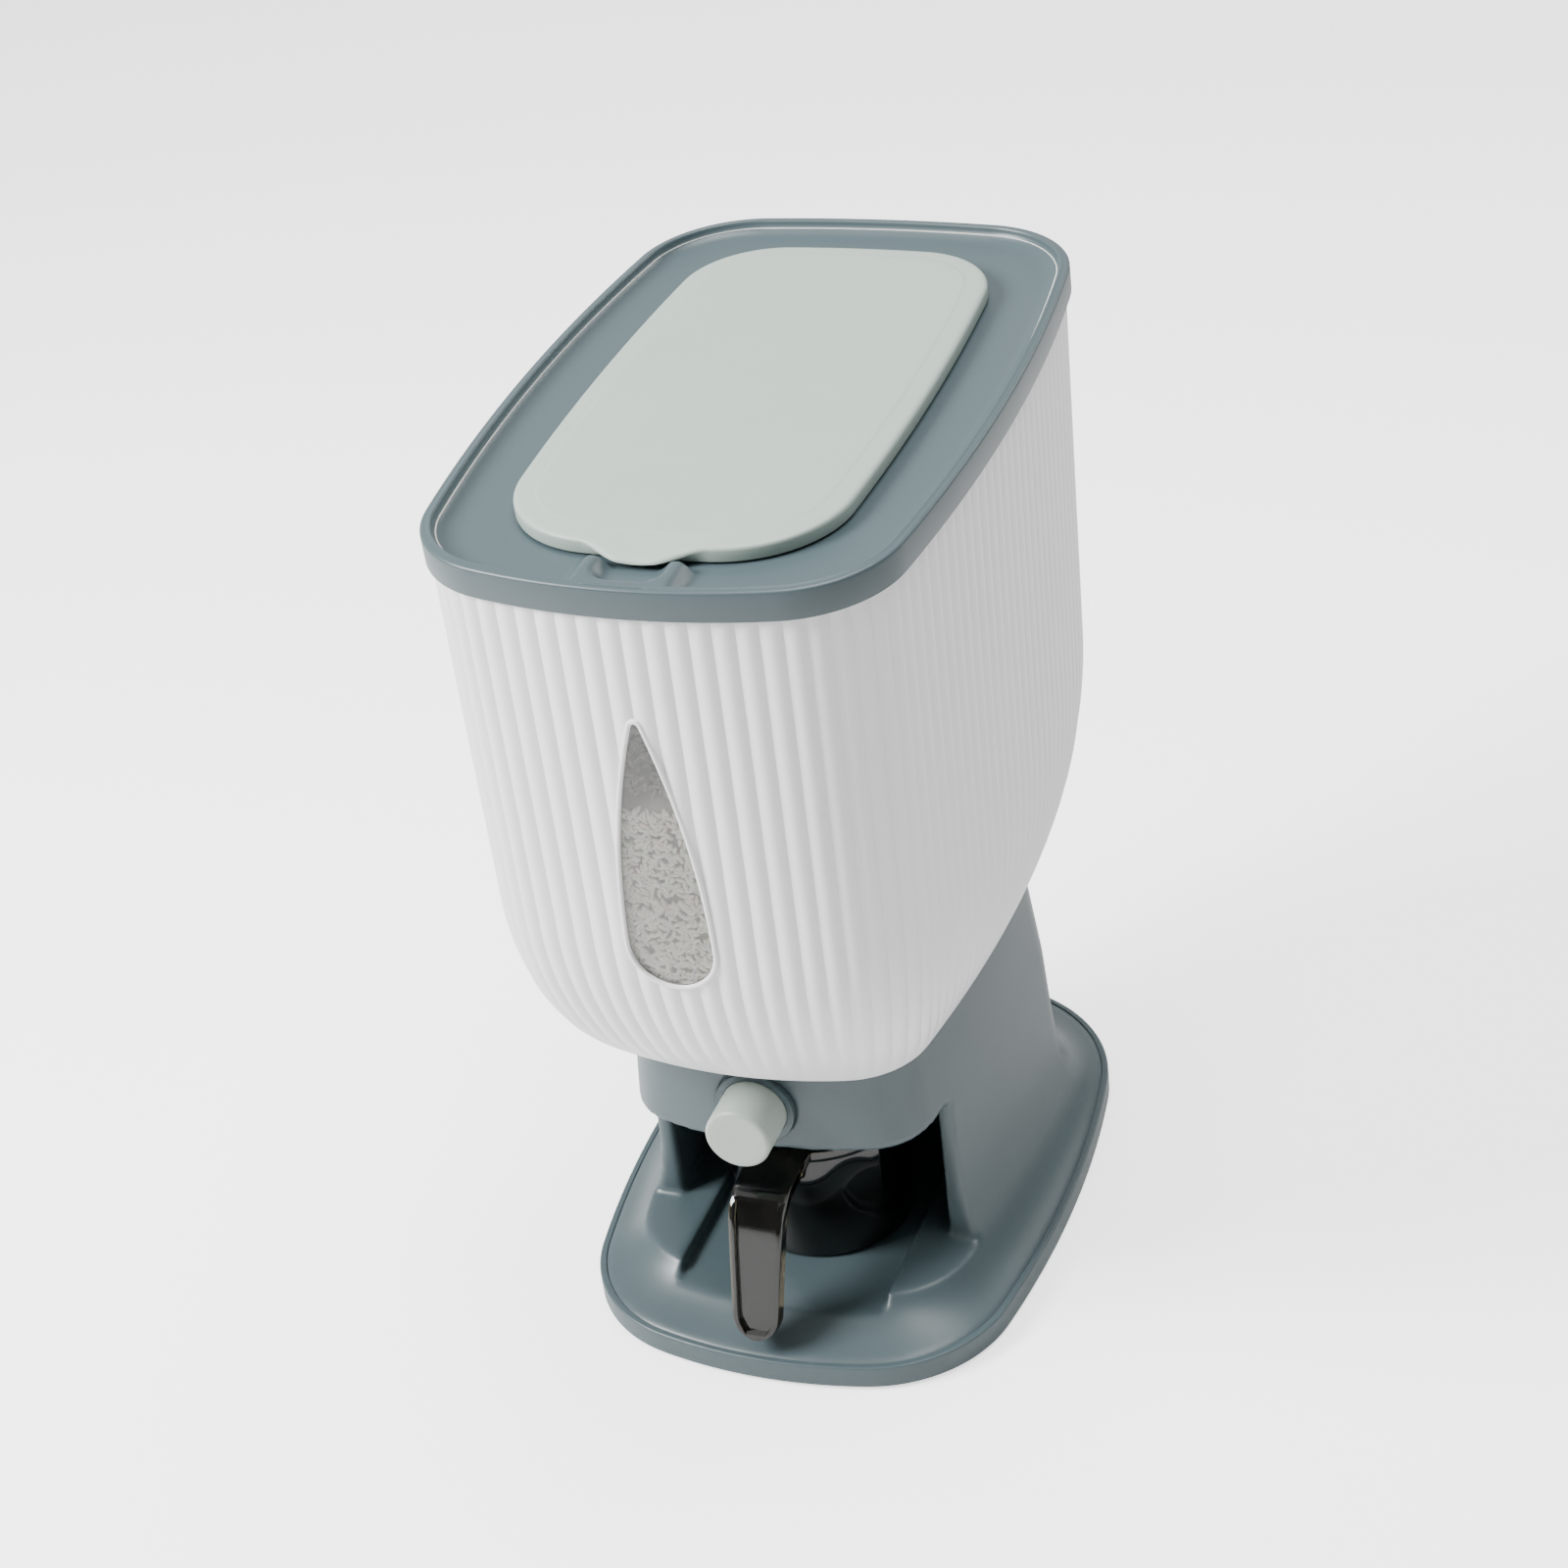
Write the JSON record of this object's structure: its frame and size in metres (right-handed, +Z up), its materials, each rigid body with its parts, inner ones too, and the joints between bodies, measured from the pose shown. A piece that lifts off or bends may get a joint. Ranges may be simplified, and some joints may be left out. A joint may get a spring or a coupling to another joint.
{
  "type": "rice dispenser",
  "caption": "Countertop rice dispenser: ribbed hopper with a flip lid, on a flared stand whose push knob opens a gate over a measuring cup.",
  "frame": {"origin": "on the table, under the middle of the lid frame", "axes": "+Z up, front towards -Y, X = 0 is the plane of symmetry"},
  "size_m": [0.2028, 0.3082, 0.406],
  "materials": {
    "blue_grey_plastic": "satin moulded polypropylene",
    "white_plastic": "satin moulded ABS",
    "pale_lid_plastic": "fine matt moulded polypropylene",
    "pale_knob_plastic": "satin moulded ABS",
    "natural_plastic": "plain moulded plastic",
    "clear_pane": "clear polished polycarbonate",
    "smoky_clear": "smoky clear polished plastic",
    "soft_silicone": "matt silicone",
    "black_rubber": "matt rubber",
    "zinc_steel": "zinc plated",
    "spring_steel": "drawn wire"
  },
  "bodies": {
    "housing": {"stand_shell": "blue_grey_plastic", "lid_frame": "blue_grey_plastic", "base_plate": "blue_grey_plastic", "knob_bezel": "blue_grey_plastic", "rubber_feet": "black_rubber", "base_screws": "zinc_steel", "hopper_screws": "zinc_steel", "gate_screws": "zinc_steel", "lid_hinge_pins": "zinc_steel", "return_spring": "spring_steel", "hopper_body": "white_plastic", "window_frame": "white_plastic", "hopper_funnel": "natural_plastic", "gate_housing_top": "natural_plastic", "gate_housing_bottom": "natural_plastic", "outlet_chute": "natural_plastic", "window_pane": "clear_pane", "frame_seal": "soft_silicone", "outlet_seal": "soft_silicone"},
    "lid": {"flip_lid": "pale_lid_plastic", "lid_seal": "soft_silicone"},
    "push_gate": {"push_knob": "pale_knob_plastic", "push_rod": "natural_plastic", "gate_slide": "natural_plastic"},
    "cup": {"measuring_cup": "smoky_clear"}
  },
  "joints": [
    {"name": "lid_hinge", "type": "hinge", "parent": "housing", "child": "lid", "pos_m": [0, 0.12006, 0.40093], "axis": [-1, 0, 0], "range_deg": [0, 95]},
    {"name": "knob_push", "type": "slide", "parent": "housing", "child": "push_gate", "axis": [0, 1, 0], "range_m": [0, 0.015], "stiffness_N_per_m": 200, "springref_m": -0.015, "deforming": ["return_spring"]},
    {"name": "cup_slide", "type": "slide", "parent": "housing", "child": "cup", "axis": [0, -1, 0], "range_m": [0, 0.14]}
  ]
}
